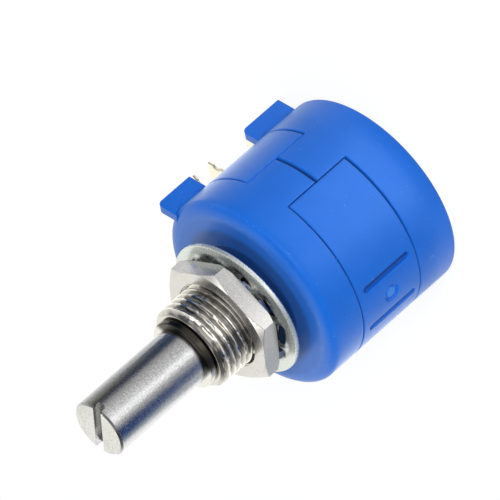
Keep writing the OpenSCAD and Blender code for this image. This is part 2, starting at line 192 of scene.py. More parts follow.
def rounded(corners, radii, steps=4, closed=True):
    """A profile through corner points (r, z). At a corner with a radius, the arc touches both sides, so
    it starts radius * tan(half turn) before the corner. Radius 0 keeps the corner sharp."""
    corners = np.array(corners, float)
    count = len(corners)
    found = []
    for k, (here, radius) in enumerate(zip(corners, radii)):
        if radius == 0 or (not closed and k in (0, count - 1)):
            found.append(here[None])
            continue
        back, ahead = corners[k - 1] - here, corners[(k + 1) % count] - here
        back_length, ahead_length = np.linalg.norm(back), np.linalg.norm(ahead)
        back, ahead = back / back_length, ahead / ahead_length
        half = math.acos(np.clip(back @ ahead, -1, 1)) / 2
        reach = radius / math.tan(half)
        centre = here + (back + ahead) / np.linalg.norm(back + ahead) * radius / math.sin(half)
        first, last = here + back * reach - centre, here + ahead * reach - centre
        t = np.linspace(0, 1, steps + 1)[:, None]
        span = math.acos(np.clip(first @ last / radius**2, -1, 1))
        arc = centre + (np.sin((1 - t) * span) * first + np.sin(t * span) * last) / math.sin(span)
        before, after = (
            (here + way * min(reach + SUPPORT, length * NEARLY_HALF))[None]
            for way, length in ((back, back_length), (ahead, ahead_length))
        )
        found += [before, arc, after]
    return np.concatenate(found)


def bevel(distance, radius):
    """How far a surface drops at this distance from its edge, when the edge has this radius: the height
    missing under a quarter circle."""
    inside = radius - np.clip(distance, 0, radius)
    return radius - np.sqrt(np.maximum(radius**2 - inside**2, 0))


def smooth_step(low, high, value):
    """0 below low, 1 above high, and a smooth cubic between."""
    t = np.clip((value - low) / (high - low), 0, 1)
    return t * t * (3 - 2 * t)


def ripple(*coordinates, seed=0):
    """A cheap smooth noise from -1 to 1: sines of several directions and phases, averaged."""
    random = np.random.default_rng(seed)
    total = 0
    for _ in range(6):
        direction = random.normal(size=len(coordinates))
        phase = random.uniform(0, 2 * np.pi)
        total = total + np.sin(sum(d * c for d, c in zip(direction, coordinates)) * 2 + phase)
    return total / 3


def edge_lines(at, side):
    """Positions stepping away from an edge across its rounding: side is 1 or -1."""
    return at + side * edge_round * np.array([0, 0.12, 0.3, 0.55, 0.8, 1.0, 1.3])


print("a rounded square has", len(rounded([[0, 0], [1, 0], [1, 1], [0, 1]], [0.1] * 4)), "points")


# %% [markdown]
# ## Filling a mesh
# numpy arrays go into a mesh in one call each, which is far quicker than adding vertices one by one.
# Welding closes seams and poles. Edges that turn by more than the crease angle are marked sharp, so
# flats stay flat and curves stay smooth.

# %% One finished piece
pieces = {}


def add_object(name, data):
    """A new object in the scene, at the origin."""
    found = bpy.data.objects.new(name, data)
    bpy.context.scene.collection.objects.link(found)
    return found


def piece(name, shells, body, nodes, crease=32):
    """Joins closed shells into one object that rides on a body and stands for the named solids."""
    points, quads = zip(*shells)
    starts = np.cumsum([0, *map(len, points[:-1])])
    points = np.concatenate(points) * MM
    quads = np.concatenate([cells + start for cells, start in zip(quads, starts)])
    mesh = bpy.data.meshes.new(name)
    mesh.vertices.add(len(points))
    mesh.vertices.foreach_set("co", points.astype(np.float32).ravel())
    mesh.loops.add(quads.size)
    mesh.loops.foreach_set("vertex_index", quads.astype(np.int32).ravel())
    mesh.polygons.add(len(quads))
    mesh.polygons.foreach_set("loop_start", np.arange(0, quads.size, 4, dtype=np.int32))
    mesh.update(calc_edges=True)
    welded = bmesh.new()
    welded.from_mesh(mesh)
    bmesh.ops.remove_doubles(welded, verts=welded.verts, dist=2e-7)
    bmesh.ops.dissolve_degenerate(welded, edges=welded.edges, dist=1e-8)
    open_edges = sum(not edge.is_manifold for edge in welded.edges)
    welded.to_mesh(mesh)
    welded.free()
    mesh.shade_smooth()
    mesh.set_sharp_from_angle(angle=math.radians(crease))
    found = add_object(name, mesh)
    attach(found, body)
    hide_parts(*nodes)
    pieces[name] = found
    triangles = sum(len(face.vertices) - 2 for face in mesh.polygons)
    print(f"{name}: {triangles} triangles, {open_edges} edges not shared by two faces")


# %% [markdown]
# ## Guard ears
# Each cover has a flat ear beside the solder lugs that keeps them from being bent sideways. It is a
# small slab whose outer front corner is rounded. An extruded curve with a bevel would do, but a profile
# drawn inwards in steps gives one closed shell with even roundings.

# %% A slab with rounded rims
def slab(outline, low, high, inset, steps=4):
    """A convex outline (n, 2) raised from low to high. Towards both faces it shrinks along its normals by
    a quarter circle of the inset, and then closes on its centre."""
    unit = lambda v: v / np.maximum(np.linalg.norm(v, axis=1, keepdims=True), 1e-9)
    along = unit(unit(np.roll(outline, -1, 0) - outline) + unit(outline - np.roll(outline, 1, 0)))
    normal = np.stack([along[:, 1], -along[:, 0]], -1)
    centre = outline.mean(0)
    normal *= np.sign(((outline - centre) * normal).sum(1, keepdims=True))
    halves = []
    for face, sign in ((high, -1), (low, 1)):
        at = lambda flat, above: np.insert(flat, 2, face + sign * above, axis=1)
        arc = [
            at(outline - normal * inset * (1 - np.sin(t)), inset * (1 - np.cos(t)))
            for t in np.linspace(0, np.pi / 2, steps + 1)
        ]
        inner = at(outline - normal * (inset + SUPPORT), 0)
        halves.append([at(centre + 0 * outline, 0), inner, *arc, at(outline, inset + SUPPORT)])
    return shell(np.stack(halves[0] + halves[1][::-1]), wrap_rows=False)


def ear(low_z, high_z):
    """An ear between two heights. Its outline lies in x and z, and it is 1 mm thick along y."""
    root = math.sqrt(case_r**2 - ear_y[0] ** 2) - ear_sink
    corners = [[root, low_z], [ear_x, low_z], [ear_x, high_z], [root, high_z]]
    outline = rounded(corners, [0.05, 0.12, ear_round, 0.05], steps=6)
    points, quads = slab(outline, *ear_y, ear_edge)
    return outward(points[:, [0, 2, 1]], quads)


ear_y = (-5.9, -4.9)
ear_round, ear_edge = 0.65, 0.07
ear_sink, ear_inset, ear_over = 0.3, 0.15, 0.4
front_ear = ear(front_seam - ear_over, face_z - ear_inset)
rear_ear = ear(ear_inset, rear_seam + ear_over)
print("ear outline spans", np.ptp(front_ear[0], axis=0).round(2), "mm")


# %% [markdown]
# ## Flash on the parting lines
# Moulded covers carry tiny burrs where the mould halves met. Each is a lump a tenth of a millimetre
# across: a sphere grid, squashed and roughened, and set into the edge it belongs to.

# %% Burrs
def burr(degrees, height, size, seed):
    """A squashed, roughened sphere at an angle and height on the case. Its radius is 1 plus a ripple of
    its own direction."""
    u = np.linspace(0, np.pi, 7)[:, None]
    v = np.linspace(0, 2 * np.pi, 10, endpoint=False)[None, :]
    x, y, z = np.sin(u) * np.cos(v), np.sin(u) * np.sin(v), np.cos(u) + 0 * v
    rough = 1 + 0.35 * ripple(x, y, z, seed=seed)
    across, up, out = (rough * half for half in size)
    turn = math.radians(degrees) + x * across / case_r
    return shell(polar(case_r - burr_sink + z * out, height + y * up, turn), wrap_rows=False)


burr_sink = 0.02
front_burrs = [
    (-75.4, front_seam + 0.02, (0.10, 0.09, 0.05)), (-104.3, front_seam + 0.05, (0.11, 0.12, 0.06)),
    (-127.0, front_seam + 0.12, (0.05, 0.06, 0.04)), (-141.3, front_seam + 0.05, (0.06, 0.14, 0.05)),
    (-161.0, front_seam + 0.04, (0.05, 0.05, 0.03)), (-103.4, front_tip + 0.06, (0.10, 0.07, 0.05)),
]
rear_burrs = [
    (-103.6, rear_tip - 0.1, (0.10, 0.09, 0.05)), (-76.5, rear_tip, (0.06, 0.05, 0.04)),
    (-172.0, rear_seam - 0.06, (0.07, 0.06, 0.05)),
]
burrs = [burr(*found, seed) for seed, found in enumerate(front_burrs + rear_burrs, 1)]
front_burrs, rear_burrs = burrs[: len(front_burrs)], burrs[len(front_burrs) :]
print(len(burrs), "burrs")


# %% [markdown]
# ## Front cover
# A moulded cap: a flat face with the mounting boss, a rounded rim, a skirt, and a tongue that reaches
# down over the housing. It could be a lathe with a boolean cut, but booleans leave ragged shading. Here
# the outside and the inside are two grids with the same lines, cells below the parting line are kept
# only inside the tongue, and the outside drops near every edge by a quarter circle. The rim is a quarter
# of an ellipse, longer across the face than down the skirt.

# %% Covers as two grids back to back
def turn_from(middle, degrees):
    """The angle from a middle direction, between -180 and 180 degrees."""
    return (degrees - middle + 180) % 360 - 180


def from_tongue(degrees):
    """Distance round the case from the middle of the tongue, in millimetres."""
    return np.abs(turn_from(tongue_at, degrees)) / mm_to_deg


tongue_w = tongue_half / mm_to_deg
side = edge_lines(tongue_half, -mm_to_deg)
cover_degrees = lines(tongue_at - 180, tongue_at + 179, 1)
cover_degrees = np.unique(np.concatenate([cover_degrees, tongue_at + side, tongue_at - side]).round(4))


def cover(outer, inner, z_rows, seam, tip, sign):
    """One cover. outer and inner are end-wall profiles (n, 2) whose last points meet the skirt, z_rows are
    the skirt's heights, and sign is 1 where the cover lies above its seam and -1 where it lies below."""
    degrees, z = cover_degrees, z_rows[:, None]
    in_tongue = np.minimum(tongue_w - from_tongue(degrees)[None, :], sign * (z - tip))
    drop = bevel(np.maximum(sign * (z - seam), in_tongue), edge_round)
    inner_z = np.where(sign * (z - inner[-1, 1]) > 0, inner[-1, 1], z)
    front = np.concatenate([spun(outer, degrees), turned(case_r - drop, z, degrees)])
    back = np.concatenate([spun(inner, degrees), turned(np.full(z.shape, skirt_r), inner_z, degrees)])
    keep = np.ones((len(front) - 1, len(degrees)), bool)
    past_seam = sign * ((z_rows[:-1] + z_rows[1:]) / 2 - seam) < 0
    column_middle = (degrees + np.roll(degrees, -1)) / 2
    column_middle[-1] = tongue_at + 179.5
    keep[len(outer) :][past_seam] = from_tongue(column_middle) < tongue_w
    return plate(front, back, keep, wrap=True)


hole_r = 4.78
corners = [[hole_r, mount_z], [boss_r, mount_z], [boss_r, face_z], [case_r - rim_run - SUPPORT, face_z]]
outer = rounded(corners, [0, 0.12, 0.18, 0], steps=6, closed=False)
t = np.linspace(0, np.pi / 2, 11)
rim = np.stack([case_r - rim_run * (1 - np.sin(t)), face_z - rim_round * (1 - np.cos(t))], -1)
outer = np.concatenate([outer, rim])
inner = np.stack([np.clip(outer[:, 0], hole_r, skirt_r), np.full(len(outer), face_z - wall_front)], -1)
z_rows = np.concatenate([
    [16.6, 15.8, 15.0, 14.3], edge_lines(front_seam, 1)[::-1],
    [13.2, 12.3, 11.4, 10.5], edge_lines(front_tip, 1)[::-1],
])
front_shell = cover(outer, inner, z_rows, front_seam, front_tip, 1)
piece("front_cap", [front_shell, front_ear, *front_burrs], "case", ["front_cover"])


# %% [markdown]
# ## Rear cover
# The same kind of cap from behind, flat and closed, with a sharper rim and the second tongue.

# %% Rear cover
outer = rounded([[0, 0], [case_r, 0], [case_r, 2]], [0, rear_round, 0], steps=6, closed=False)[:-1]
outer = np.concatenate([[[0, 0], [4, 0], [8, 0]], outer[1:]])
inner = np.stack([np.clip(outer[:, 0], 0, skirt_r), np.full(len(outer), wall_rear)], -1)
z_rows = np.concatenate([
    [0.8, 1.6, 2.6, 3.6, 4.4], edge_lines(rear_seam, -1)[::-1],
    [6.0, 6.8, 7.6, 8.4], edge_lines(rear_tip, -1)[::-1],
])
rear_shell = cover(outer, inner, z_rows, rear_seam, rear_tip, -1)
piece("rear_cap", [rear_shell, rear_ear, *rear_burrs], "case", ["rear_cover"])


# %% [markdown]
# ## Centre housing
# A sleeve that both covers slide over, with a raised band between them that lies flush with their
# skirts. The band is interrupted where the tongues meet, and carries two slots and a round gate mark
# with a raised pip. All of that is one surface whose radius is a function of angle and height.

# %% Housing radius as a function of angle and height
sleeve_r = skirt_r - 0.02
cavity_r = skirt_r - 1.0
band_low, band_high = rear_seam + gap, front_seam - gap
mark_z = (front_tip + rear_tip) / 2 - 0.05
slot_length, slot_width, slot_depth, slot_spread = 6.6, 0.8, 0.4, 13.7
gate_r, gate_depth, pip_r, pip_h = 1.0, 0.3, 0.62, 0.225
lug_half, lug_over, lug_under = 1.1, 0.4, 0.42
seam_widens, widens_over = 0.13, 7.0
window_half = tongue_half + math.degrees(gap / case_r)


def pocket(distance, depth, round_top=0.09, round_floor=0.12):
    """How deep a pocket is at a signed distance from its outline, negative inside: a rounded lip, a
    steep wall and a rounded floor."""
    lip = 0.25 * smooth_step(round_top, -round_top * 0.5, distance)
    wall = 0.75 * smooth_step(0.02, -round_floor, distance)
    return depth * (lip + wall)


def housing_radius(degrees, z):
    """Case radius on the band less what its edges, slots and gate mark take away, and the sleeve's
    radius outside it. The rear seam is a little wider beside the tongues."""
    u_window = (np.abs(turn_from(tongue_at, degrees)) - window_half) / mm_to_deg
    low = band_low + seam_widens * np.exp(-np.maximum(u_window, 0) / widens_over)
    distance = np.minimum(np.minimum(z - low, band_high - z), u_window)
    radius = case_r - bevel(distance, edge_round)
    u_mark = turn_from(180, degrees) / mm_to_deg
    past = np.maximum(np.abs(z - mark_z) - (slot_length - slot_width) / 2, 0)
    for sign in (-1, 1):
        capsule = np.hypot(u_mark - sign * slot_spread / mm_to_deg, past) - slot_width / 2
        radius = radius - pocket(capsule, slot_depth)
    from_gate = np.hypot(u_mark, z - mark_z)
    radius = radius - pocket(from_gate - gate_r, gate_depth)
    radius = radius + pocket(from_gate - pip_r, pip_h, 0.05, 0.08)
    beside_lug = np.maximum(np.abs(degrees) / mm_to_deg - lug_half, z - rear_seam - lug_over)
    in_lug_notch = (beside_lug < 0) & (z > wall_rear + lug_under)
    radius = np.where(in_lug_notch & (distance < 0), case_r - 0.02, radius)
    return np.where((distance >= 0) | in_lug_notch, radius, sleeve_r)


step = 0.003
window_lines = np.append(edge_lines(window_half, mm_to_deg), window_half - step * mm_to_deg)
notch_lines = np.array([lug_half, lug_half - step]) * mm_to_deg
mark_span = slot_spread + 0.6 * mm_to_deg
degrees = np.concatenate([
    lines(-180, 179, 1.2), lines(180 - mark_span, 180 + mark_span, 0.065 * mm_to_deg) % 360,
    tongue_at + window_lines, tongue_at - window_lines, notch_lines, -notch_lines,
])
degrees = np.unique(turn_from(0, degrees).round(4))
z_rows = np.concatenate([
    [housing_low[2], 3.5, 4.5, band_low - step], edge_lines(band_low, 1),
    lines(band_low + 0.2, band_high - 0.2, 0.16, (mark_z - 3.5, mark_z - 2.7, 0.07),
          (mark_z + 2.7, mark_z + 3.5, 0.07), (mark_z - 1.15, mark_z + 1.15, 0.07)),
    edge_lines(band_high, -1)[::-1], [band_high + step, 14.5, 15.5, housing_high[2]],
])
z_rows = np.unique(z_rows.round(4))
radius = housing_radius(degrees[None, :], z_rows[:, None])
outside = turned(radius, z_rows[:, None], degrees)
inside = turned(np.full((2, 1), cavity_r), np.array([[housing_high[2]], [housing_low[2]]]), degrees)
housing = shell(np.concatenate([outside, inside]))
piece("housing_band", [housing], "case", ["centre_housing"])


# %% [markdown]
# ## Threaded bushing
# A turned brass bushing with a 3/8-32 thread that runs out in a chamfer at its free end. A thread is a
# helix: the depth at a point depends on how far it lies along the pitch at its own angle. So the outside
# is a grid whose radius is the crest radius less the thread's depth at that phase, and the chamfer simply
# takes the smaller of the two radii. Its rows climb with the helix, which keeps the crests' edges crisp.
# A ripple, taken on a cylinder of radius wear_r, wears and nicks the crests here and there.

# %% Thread
bush_r, bore_r, bush_end = 4.76, 3.2, bush_high[2]
chamfer = 0.5
thread_pitch, thread_depth, crest_share = 25.4 / 32, 0.52, 0.18
wear_r = 6


def thread_drop(phase, x, y, z):
    """Depth below the crest. Past the flat crest's edge the flank falls steeply and runs out into a round
    root: the depth is one less a power of what is left of the way to the root."""
    from_crest = np.abs(phase - 0.5) * 2
    left = 1 - np.clip((from_crest - crest_share) / (1 - crest_share), 0, 1)
    uneven = 1 + 0.10 * ripple(x, y, 2.2 * z, seed=4)
    worn = 0.05 * np.maximum(ripple(0.7 * x, 0.7 * y, 0.8 * z, seed=6) - 0.2, 0)
    nicks = 0.03 * np.maximum(ripple(4 * x, 4 * y, 5 * z, seed=5) - 0.25, 0)
    run_out = smooth_step(mount_z + 0.1, mount_z + 0.7, z)
    return np.maximum(thread_depth * uneven * (1 - left**1.7) * run_out, worn + nicks)


# The grid's rows follow the helix: a row rises by one pitch in a turn, so the first and last columns
# meet one pitch apart, and rows past either end are held at that end. Welding closes the seam.
degrees = np.linspace(0, 360, 241)
half_phases = np.array([0, 0.07, 0.14, 0.20, 0.26, 0.31, 0.35, 0.385, 0.5 - crest_share / 2])
phases = np.concatenate([half_phases, [0.5], 1 - half_phases[:0:-1]])
turns = np.arange(-2, math.ceil((bush_end - mount_z) / thread_pitch) + 1)
phase = (turns[:, None] + phases).reshape(-1, 1)
thread_low, thread_high = mount_z - 0.1, bush_end - 0.02
z = np.clip(mount_z + (phase + degrees[None, :] / 360) * thread_pitch, thread_low, thread_high)
angle = np.radians(degrees[None, :])
x, y = wear_r * np.cos(angle) + 0 * z, wear_r * np.sin(angle) + 0 * z
phase = ((z - mount_z) / thread_pitch - degrees[None, :] / 360) % 1
cone = bush_r - np.maximum(z - (bush_end - chamfer), 0)
radius = np.minimum(bush_r - thread_drop(phase, x, y, z) * (z > mount_z), cone)
flange_r = bush_high[0]
flange_low = face_z - wall_front + 0.55
end_r = bush_r - chamfer
corners = [
    [end_r, bush_end - 0.01], [end_r - 0.06, bush_end], [bore_r + 0.12, bush_end], [bore_r, bush_end - 0.12],
    [bore_r, bush_low[2]], [bush_r, bush_low[2]], [bush_r, flange_low], [flange_r, flange_low],
    [flange_r, flange_low + 0.9], [bush_r, flange_low + 0.9],
]
path = rounded(corners, [0, 0.03, 0.03, 0.03, 0.05, 0.05, 0, 0.05, 0.05, 0], steps=3)
bushing = shell(np.concatenate([turned(radius, z, degrees), spun(path, degrees)]), wrap_columns=False)
piece("threaded_bushing", [bushing], "case", ["bushing"], crease=24)


# %% [markdown]
# ## Hex nut
# The nut is a hexagon whose corners are cut by a wide shallow cone in front, which leaves the curved
# shoulders seen on every real nut, and by a narrow one behind. At each angle the flat's distance is the
# half width over the cosine, and the cone gives the height where the flat ends. Both faces have a shallow
# countersink, and the flats bulge a little in their middle.

# %% Nut profile at each angle
nut_corner_at = 25.6
nut_af = 12.7
corner_r = nut_af / math.sqrt(3)
sink_r, sink_depth = 5.05, 0.28
offsets = np.array([0, 0.25, 0.6, 1.0, 1.6])
corners_at = nut_corner_at + 60 * np.arange(6)
degrees = np.unique(np.concatenate([
    np.arange(0, 360, 1.5), ((corners_at[:, None] + np.concatenate([offsets, -offsets])) % 360).ravel(),
]).round(4))
alpha = np.radians((degrees - nut_corner_at) % 60 - 30)
crown_h, corner_break = 0.10, 0.035
crown = crown_h * (np.tan(alpha) / math.tan(math.pi / 6)) ** 2
hexagon = np.minimum((nut_af / 2 - crown) / np.cos(alpha), corner_r - corner_break)
nut_bore = bush_r + 0.03


def nut_half(face, direction, cut, fall):
    """Rows (radius, height) from the bore out to the flats on one face. Past corner_r - cut the face is a
    cone that falls by fall at the corners, and where a flat lies inside that circle it has no chamfer."""
    face_r = corner_r - cut
    up = lambda drop: face + direction * (drop + 0 * degrees)
    level = lambda radius, drop: (radius + 0 * degrees, up(drop))
    cone = lambda radius: (radius, up(np.maximum(radius - face_r, 0) * fall / cut))
    edge = np.minimum(face_r, hexagon - 0.08)
    shoulder = np.maximum(hexagon - face_r, 0) * fall / cut
    bore = [(0, sink_depth + 0.25), (0, sink_depth + 0.03), (0.01, sink_depth), (0.04, sink_depth - 0.03)]
    sink = [(-0.04, 0.04), (-0.01, 0.012), (0.03, 0.0), (0.08, 0.0)]
    return [
        *(level(nut_bore + out, drop) for out, drop in bore),
        *(level(sink_r + out, drop) for out, drop in sink),
        cone(edge - 0.05), cone(edge), cone(edge + 0.03), cone(edge + (hexagon - edge) * 0.5),
        cone(hexagon - 0.035), (hexagon - 0.012, up(shoulder + 0.006)), (hexagon, up(shoulder + 0.035)),
        (hexagon, up(shoulder + 0.07)),
    ]


rear_cut, rear_fall, front_cut, front_fall = 0.5, 0.35, 0.93, 0.5
rows = nut_half(nut_low[2], 1, rear_cut, rear_fall) + nut_half(nut_high[2], -1, front_cut, front_fall)[::-1]
grid = turned(*map(np.stack, zip(*rows)), degrees)
piece("panel_nut", [shell(grid)], "nut", ["hex_nut"], crease=14)


# %% [markdown]
# ## Lock washer
# Stamped spring steel: a smooth rim with ten teeth inside, each twisted out of the plane so that it bites
# the nut and the panel. It is loose and hangs a little askew. The grid follows each tooth with straight
# sides, the cells between teeth are left out, and the height of a tooth is its sideways position times
# the sine of its twist.

# %% Washer
teeth, twist, tooth_w, washer_t, tooth_at = 10, math.radians(29), 2.1, 0.5, 32.6
washer_tilt, lean_at = math.radians(1.75), math.radians(-37)
washer_r, washer_z = 7.9, (washer_low[2] + washer_high[2]) / 2
rim_inner = washer_r - 1.35
tooth_tip = bush_r + 0.22
tooth_half = tooth_w / 2 * math.cos(twist)
lift = tooth_w / 2 * math.sin(twist)
rho_rows = np.concatenate([
    [tooth_tip, tooth_tip + 0.03, tooth_tip + 0.08], lines(tooth_tip + 0.2, rim_inner - 0.1, 0.12),
    [rim_inner, rim_inner + 0.05, rim_inner + 0.12], lines(rim_inner + 0.25, washer_r - 0.3, 0.14),
    washer_r - 0.1 * np.array([1.3, 1.0, 0.7, 0.4, 0.18, 0.0]),
])
tooth_columns = np.array([-1, -0.96, -0.9, -0.75, -0.5, -0.25, 0, 0.25, 0.5, 0.75, 0.9, 0.96])
gap_columns = np.array([0, 0.06, 0.15, 0.3, 0.5, 0.7, 0.85, 0.94])
rho = rho_rows[:, None]
half_angle = np.arcsin(np.minimum(tooth_half / rho, 0.99))
sector = 2 * np.pi / teeth
tooth_angle = tooth_columns[None, :] * half_angle
gap_angle = half_angle + gap_columns[None, :] * (sector - 2 * half_angle)
pattern = np.concatenate([tooth_angle, gap_angle], 1)
start = math.radians(tooth_at) + sector * (np.arange(teeth) + 0.5)
angle = (start[None, :, None] + pattern[:, None, :]).reshape(len(rho_rows), -1)
sideways = np.tile(np.concatenate([tooth_columns, 1 - 2 * gap_columns]), teeth)
in_gap = np.tile(np.repeat([False, True], [len(tooth_columns), len(gap_columns)]), teeth)
height = sideways * lift * smooth_step(rim_inner + 0.45, rim_inner - 0.55, rho)
corner_fill = np.where(in_gap, 0.22 * np.abs(sideways) ** 4, 0)
radius = rho - corner_fill * smooth_step(rim_inner + 0.5, rim_inner, rho) * (rho >= rim_inner)
thin = np.maximum(bevel(washer_r - rho, 0.1), bevel(rho - tooth_tip, 0.06))
thin = thin + bevel((1 - np.abs(sideways)) * tooth_half, 0.05) * (rho < rim_inner) * ~in_gap
slant = np.array(Matrix.Rotation(washer_tilt, 3, Vector((math.sin(lean_at), -math.cos(lean_at), 0))))
front, back = (
    polar(radius, height + side * (washer_t / 2 - thin), angle) @ slant.T + [0, 0, washer_z]
    for side in (1, -1)
)
keep = (rho_rows[1:, None] > rim_inner + 1e-6) | ~in_gap
washer = plate(front, back, keep, wrap=True)
piece("toothed_washer", [washer], "washer", ["lock_washer"], crease=35)


# %% [markdown]
# ## Retaining ring
# A spring-steel ring snapped into a groove of the shaft, open at one side. It is a rounded
# rectangle carried along an arc, and both ends close on the section's centre.

# %% Ring
ring_gap_at, ring_gap = 60, 55
shaft_r = 3.175
ring_in, ring_out = shaft_r - 0.28, ring_high[1]
section = rounded(
    [[ring_in, ring_low[2]], [ring_out, ring_low[2]], [ring_out, ring_high[2]], [ring_in, ring_high[2]]],
    [0.05, 0.1, 0.1, 0.05], steps=3,
)
arc = np.linspace(ring_gap_at + ring_gap / 2, ring_gap_at + 360 - ring_gap / 2, 120)
swell = np.concatenate([[0, 0.9], np.ones(len(arc) - 2), [0.9, 0]])
centre = section.mean(0)
radius, height = (centre[k] + (section[:, k : k + 1] - centre[k]) * swell for k in (0, 1))
grid = turned(radius, height, np.pad(arc, 1, mode="edge"))
piece("snap_ring", [shell(grid, wrap_columns=False)], "shaft_and_rotor", ["retaining_ring"])


# %% [markdown]
# ## Shaft
# Turned stainless steel with a screwdriver slot. A boolean could cut the slot, but its floor and walls
# are simple: the shaft is turned up to the slot's floor, and two D-shaped halves stand on it. A half is
# a grid with one line per step along the slot and one row along its section: up the slot's wall, across
# the end face, down the chamfer's cone and down the round side. Where the wall cuts the cone, the end
# face has run out and the wall's top follows the cone by itself.

# %% Shaft and its slotted end
driver_at, driver_w, driver_depth, end_chamfer = 83.6, 1.0, 0.9, 0.2
shaft_end = shaft_high[2]
floor_z = shaft_end - driver_depth
cone_r = shaft_r - end_chamfer


def slot_half(turn, break_r=0.035):
    """One half of the slotted end. Position along the slot is the half chord times a sine, so that lines
    gather where the round side meets the wall. Height is the end less what the radius passes the cone."""
    wall = driver_w / 2
    s = math.sqrt(shaft_r**2 - wall**2) * np.sin(np.linspace(-np.pi / 2, np.pi / 2, 97))
    edge, inner = (np.sqrt(np.maximum(radius**2 - s**2, wall**2)) for radius in (shaft_r, cone_r))
    across = [wall + 0 * s] * 3 + [np.minimum(wall + break_r * share, edge) for share in (0.3, 1)]
    across += [across[-1] + (np.maximum(inner, across[-1]) - across[-1]) * t for t in (0.25, 0.5, 0.75, 1)]
    across += [across[-1] + (edge - across[-1]) * t for t in (0.33, 0.67, 1)]
    across = np.array(across + [edge] * 3)
    top = shaft_end - np.maximum(np.hypot(s, across) - cone_r, 0)
    fall = np.array([driver_depth, 0.5, break_r, break_r * 0.3] + [0.0] * 8 + [0.02, 0.2, driver_depth])
    z = np.maximum(top - fall[:, None], floor_z)
    a = math.radians(driver_at + turn)
    x, y = s * math.cos(a) - across * math.sin(a), s * math.sin(a) + across * math.cos(a)
    return shell(np.stack([x, y, z], -1), wrap_columns=False)


degrees = np.linspace(0, 360, 192, endpoint=False)
groove_r, groove_low, groove_high = shaft_r - 0.3, ring_low[2] - 0.02, ring_high[2] + 0.02
seat_r, journal_r = 2.3, 1.55
rotor_low, rotor_high = (corner[2] for corner in box_mm("rotor"))
corners = [
    [0, floor_z], [shaft_r, floor_z], [shaft_r, groove_high], [groove_r, groove_high],
    [groove_r, groove_low], [shaft_r, groove_low], [shaft_r, rotor_high], [seat_r, rotor_high],
    [seat_r, rotor_low], [journal_r, rotor_low], [journal_r, shaft_low[2]], [0, shaft_low[2]],
]
radii = [0, 0, 0.05, 0.03, 0.03, 0.05, 0.05, 0.03, 0.05, 0.03, 0.1, 0]
body = shell(spun(rounded(corners, radii, steps=3, closed=False), degrees), wrap_rows=False)
halves = [slot_half(0), slot_half(180)]
piece("slotted_shaft", [body, *halves], "shaft_and_rotor", ["shaft"], crease=34)


# %% [markdown]
# ## Solder lugs
# Stamped brass strips, gold-flashed, with a notch in each side that holds the wire while it is
# soldered. A lug is a plate on a grid whose cells are left out in the notches. Its edges drop by a
# quarter circle, and the front lug's grid is bent along an arc after it is laid out.

# %% Lugs
lug_w, lug_t, notch, notch_length, lug_tip, bend_r = 2.25, 0.4, 0.28, 0.85, 0.75, 0.6


def lug(x0, x1, z, bend_degrees, bend_x):
    """A notched strip from x0 to x1 at height z. Past bend_x it follows an arc down to the bend angle and
    then a straight line."""
    cut_to = x1 - lug_tip
    cut_from = cut_to - notch_length
    near = np.array([0, 0.015, 0.035, 0.06])
    x = np.unique(np.concatenate([
        lines(x0, x1, 0.25), cut_from - near, cut_to + near, x1 - near, bend_x + lines(0, 0.3, 0.05),
    ]).round(4))
    x = x[(x >= x0 - 1e-6) & (x <= x1 + 1e-6)]
    half = lug_w / 2
    y = np.unique(np.concatenate([
        lines(-half, half, 0.28), half - near, near - half, half - notch - near, near + notch - half,
    ]).round(4))
    gx, gy = np.meshgrid(x, y, indexing="ij")
    along, inwards = np.maximum(cut_from - gx, gx - cut_to), half - notch - np.abs(gy)
    aside = np.hypot(np.maximum(along, 0), np.maximum(inwards, 0))
    thin = bevel(np.minimum(np.minimum(half - np.abs(gy), x1 - gx), aside), 0.06)
    middle_x, middle_y = (x[:-1] + x[1:]) / 2, (y[:-1] + y[1:]) / 2
    in_notch = ((middle_x > cut_from) & (middle_x < cut_to))[:, None] & (np.abs(middle_y) > half - notch)
    past = np.maximum(gx - bend_x, 0)
    turn = np.minimum(past / bend_r, math.radians(bend_degrees))
    beyond = past - turn * bend_r
    line_x = gx - past + bend_r * np.sin(turn) + beyond * np.cos(turn)
    line_z = z - bend_r * (1 - np.cos(turn)) - beyond * np.sin(turn)
    off = lug_t / 2 - thin
    front, back = (
        np.stack([line_x + side * off * np.sin(turn), gy, line_z + side * off * np.cos(turn)], -1)
        for side in (1, -1)
    )
    return plate(front, back, ~in_notch)


for name, node, bend in (("front_lug", "front_terminal", 17.0), ("middle_lug", "middle_terminal", 0.0),
                         ("rear_lug", "rear_terminal", 0.0)):
    low, high = box_mm(node)
    reach = high[0] + (0.06 if bend else 0.0)
    strip = lug(low[0], reach, high[2] - lug_t / 2, bend, case_r + 0.2)
    piece(name, [strip], "case", [node])


# %% [markdown]
# ## Shader maths in Python
# Materials are node trees. Wired by hand they are hard to read, so a socket is wrapped in a small class
# whose operators add Math nodes: `1 - mask * 0.3` adds two. Every other node comes from one method, which
# makes its settings first and then fills its sockets.

# %% A socket with operators
def dim(values, share):
    """Every value, such as a colour's, times a share."""
    return tuple(share * value for value in values)


def operator(operation, swapped=False):
    """A method that adds a Math node for an operator, with the terms the other way round if swapped."""
    return lambda self, other: self.maths(operation, *((other, self) if swapped else (self, other)))


class Socket:
    """An output socket. Arithmetic on it adds Math nodes to its tree."""

    def __init__(self, nodes, socket):
        self.nodes, self.socket = nodes, socket

    def maths(self, operation, *terms, clamp=False):
        settings = {"operation": operation, "use_clamp": clamp}
        return self.nodes.node("ShaderNodeMath", settings, dict(enumerate(terms)))

    __add__ = __radd__ = operator("ADD")
    __mul__ = __rmul__ = operator("MULTIPLY")
    __sub__, __rsub__ = operator("SUBTRACT"), operator("SUBTRACT", swapped=True)
    __truediv__ = operator("DIVIDE")

    def clipped(self):
        return self.maths("ADD", self, 0.0, clamp=True)


